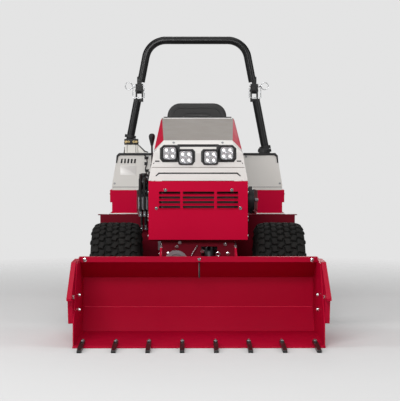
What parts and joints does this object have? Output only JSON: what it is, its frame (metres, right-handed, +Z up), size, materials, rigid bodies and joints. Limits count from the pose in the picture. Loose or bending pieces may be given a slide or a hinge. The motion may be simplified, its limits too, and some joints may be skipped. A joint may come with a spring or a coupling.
{
  "type": "articulated compact tractor with toothed bucket",
  "caption": "Red and off-white articulated compact tractor with a folding roll bar, square hood lamps, all-terrain tyres and a wide toothed front bucket.",
  "frame": {"origin": "on the ground, at the middle of the box that the tractor and its bucket fill", "axes": "+X to the machine's left hand side as the driver sits, +Y from the bucket to the rear hitch, +Z up"},
  "size_m": [1.326, 2.78, 1.736],
  "materials": {
    "red_paint": "semi-gloss crimson powder coat",
    "dark_red_paint": "worn dark red paint",
    "white_skin": "glossy off-white moulding",
    "grey_skin": "satin light grey moulding",
    "taupe_skin": "satin warm grey moulding",
    "black_plastic": "matt black moulding",
    "black_paint": "semi-gloss black powder coat",
    "tyre_rubber": "matt tread rubber",
    "black_rubber": "matt rubber",
    "vinyl": "charcoal vinyl",
    "cast_metal": "dark cast metal",
    "steel": "plated steel",
    "chrome_rod": "hard chrome and bright plating",
    "rim_paint": "light grey painted steel",
    "lamp_lens": "clear lens over bright diodes"
  },
  "bodies": {
    "front_frame": {"front_chassis": "red_paint", "front_axle": "cast_metal", "engine_block": "cast_metal", "air_cleaner": "black_plastic", "muffler": "steel", "radiator": "black_plastic", "hydrostatic_pump": "cast_metal", "hydraulic_valve": "steel", "hydraulic_hoses": "black_rubber", "grille_panel": "red_paint", "grille_bolts": "chrome_rod", "dash_panel": "black_plastic", "steering_column": "black_plastic", "foot_platform": "dark_red_paint", "steering_cylinder": "steel"},
    "hood": {"hood_front": "white_skin", "hood_top": "taupe_skin", "hood_sides": "red_paint", "lamp_housings": "black_plastic", "lamp_lenses": "lamp_lens"},
    "steering_wheel": {"steering_wheel": "black_plastic"},
    "drive_lever": {"drive_lever": "black_plastic"},
    "parking_brake": {"parking_brake": "black_plastic"},
    "cooling_fan": {"cooling_fan": "black_plastic"},
    "pto_pulley": {"pto_pulley": "steel"},
    "pivot_yoke": {"pivot_yoke": "cast_metal"},
    "steering_rod": {"steering_rod": "chrome_rod"},
    "rear_frame": {"rear_chassis": "red_paint", "rear_axle": "cast_metal", "console_right": "grey_skin", "console_left": "grey_skin", "side_boxes": "red_paint", "console_trims": "black_plastic", "rops_posts": "black_paint", "drawbar": "black_paint"},
    "fuel_cap": {"fuel_cap": "black_plastic"},
    "seat": {"seat_pan": "black_plastic", "seat_cushion": "vinyl"},
    "seat_back": {"seat_back": "vinyl"},
    "rops_hoop": {"rops_hoop": "black_paint"},
    "lock_pin_right": {"lock_pin_right": "chrome_rod"},
    "lock_pin_left": {"lock_pin_left": "chrome_rod"},
    "wheel_front_right": {"tyre_front_right": "tyre_rubber", "rim_front_right": "rim_paint"},
    "wheel_front_left": {"tyre_front_left": "tyre_rubber", "rim_front_left": "rim_paint"},
    "wheel_rear_right": {"tyre_rear_right": "tyre_rubber", "rim_rear_right": "rim_paint"},
    "wheel_rear_left": {"tyre_rear_left": "tyre_rubber", "rim_rear_left": "rim_paint"},
    "lift_arms": {"lift_arms": "dark_red_paint"},
    "lift_cylinder": {"lift_cylinder": "steel"},
    "lift_rod": {"lift_rod": "chrome_rod"},
    "bucket": {"bucket_shell": "red_paint", "bucket_wings": "red_paint", "cutting_edge": "red_paint", "bucket_teeth": "black_paint", "bucket_bolts": "chrome_rod"},
    "tilt_cylinder": {"tilt_cylinder": "steel"},
    "tilt_rod": {"tilt_rod": "chrome_rod"}
  },
  "joints": [
    {"name": "articulation", "type": "hinge", "parent": "front_frame", "child": "pivot_yoke", "pos_m": [0, 0.405, 0.405], "axis": [0, 0, 1], "range_deg": [-35, 35]},
    {"name": "oscillation", "type": "hinge", "parent": "pivot_yoke", "child": "rear_frame", "pos_m": [0, 0.5, 0.405], "axis": [0, 1, 0], "range_deg": [-8, 8]},
    {"name": "steering_rod_slide", "type": "slide", "parent": "front_frame", "child": "steering_rod", "axis": [0, 1, 0], "range_m": [-0.053, 0.053]},
    {"name": "steering_wheel_turn", "type": "hinge", "parent": "front_frame", "child": "steering_wheel", "pos_m": [0, 0.38, 1.118], "axis": [0, 0.309, 0.9511], "range_deg": [-540, 540]},
    {"name": "hood_open", "type": "hinge", "parent": "front_frame", "child": "hood", "pos_m": [0, 0.16, 1.145], "axis": [-1, 0, 0], "range_deg": [0, 50]},
    {"name": "drive_lever_swing", "type": "hinge", "parent": "front_frame", "child": "drive_lever", "pos_m": [-0.272, 0.202, 0.874], "axis": [1, 0, 0], "range_deg": [-14, 14]},
    {"name": "parking_brake_pull", "type": "hinge", "parent": "front_frame", "child": "parking_brake", "pos_m": [0.216, 0.21, 0.764], "axis": [-1, 0, 0], "range_deg": [0, 35]},
    {"name": "fan_spin", "type": "hinge", "parent": "front_frame", "child": "cooling_fan", "pos_m": [0, -0.338, 0.67], "axis": [0, 1, 0], "continuous": true},
    {"name": "pto_spin", "type": "hinge", "parent": "front_frame", "child": "pto_pulley", "pos_m": [-0.121, -0.42, 0.355], "axis": [0, 1, 0], "continuous": true},
    {"name": "wheel_front_right_spin", "type": "hinge", "parent": "front_frame", "child": "wheel_front_right", "pos_m": [-0.4635, -0.16, 0.2795], "axis": [1, 0, 0], "continuous": true},
    {"name": "wheel_front_left_spin", "type": "hinge", "parent": "front_frame", "child": "wheel_front_left", "pos_m": [0.4635, -0.16, 0.2795], "axis": [1, 0, 0], "continuous": true},
    {"name": "wheel_rear_right_spin", "type": "hinge", "parent": "rear_frame", "child": "wheel_rear_right", "pos_m": [-0.4635, 0.97, 0.2795], "axis": [1, 0, 0], "continuous": true},
    {"name": "wheel_rear_left_spin", "type": "hinge", "parent": "rear_frame", "child": "wheel_rear_left", "pos_m": [0.4635, 0.97, 0.2795], "axis": [1, 0, 0], "continuous": true},
    {"name": "lift", "type": "hinge", "parent": "front_frame", "child": "lift_arms", "pos_m": [0, -0.33, 0.3], "axis": [-1, 0, 0], "range_deg": [0, 15]},
    {"name": "lift_cylinder_turn", "type": "hinge", "parent": "front_frame", "child": "lift_cylinder", "pos_m": [0.062, -0.3, 0.44], "axis": [-1, 0, 0], "range_deg": [-15, 15]},
    {"name": "lift_rod_slide", "type": "slide", "parent": "lift_cylinder", "child": "lift_rod", "axis": [0, -0.5692, -0.8222], "range_m": [-0.03, 0.03]},
    {"name": "bucket_tilt", "type": "hinge", "parent": "lift_arms", "child": "bucket", "pos_m": [0, -0.59, 0.095], "axis": [-1, 0, 0], "range_deg": [-35, 12]},
    {"name": "tilt_cylinder_turn", "type": "hinge", "parent": "lift_arms", "child": "tilt_cylinder", "pos_m": [-0.03, -0.33, 0.2], "axis": [-1, 0, 0], "range_deg": [-15, 15]},
    {"name": "tilt_rod_slide", "type": "slide", "parent": "tilt_cylinder", "child": "tilt_rod", "axis": [0, -0.9608, 0.2772], "range_m": [-0.06, 0.12]},
    {"name": "fuel_cap_turn", "type": "hinge", "parent": "rear_frame", "child": "fuel_cap", "pos_m": [0.448, 1.14, 0.95], "axis": [0, 0, 1], "range_deg": [0, 90]},
    {"name": "seat_slide", "type": "slide", "parent": "rear_frame", "child": "seat", "axis": [0, 1, 0], "range_m": [-0.06, 0.06]},
    {"name": "seat_back_fold", "type": "hinge", "parent": "seat", "child": "seat_back", "pos_m": [0, 1.075, 0.862], "axis": [1, 0, 0], "range_deg": [0, 50]},
    {"name": "rops_fold", "type": "hinge", "parent": "rear_frame", "child": "rops_hoop", "pos_m": [0, 1.22, 1.372], "axis": [-1, 0, 0], "range_deg": [0, 110]},
    {"name": "lock_pin_right_pull", "type": "slide", "parent": "rops_hoop", "child": "lock_pin_right", "axis": [-1, 0, 0], "range_m": [0, 0.065]},
    {"name": "lock_pin_left_pull", "type": "slide", "parent": "rops_hoop", "child": "lock_pin_left", "axis": [1, 0, 0], "range_m": [0, 0.065]}
  ],
  "couplings": [
    {"joint": "steering_rod_slide", "follows": "articulation", "m_per_rad": -0.084506},
    {"joint": "steering_wheel_turn", "follows": "articulation", "ratio": 15},
    {"joint": "lift_cylinder_turn", "follows": "lift", "ratio": 0.58542},
    {"joint": "lift_rod_slide", "follows": "lift", "m_per_rad": -0.063235},
    {"joint": "tilt_cylinder_turn", "follows": "bucket_tilt", "ratio": 0.25046},
    {"joint": "tilt_rod_slide", "follows": "bucket_tilt", "m_per_rad": -0.16338}
  ]
}
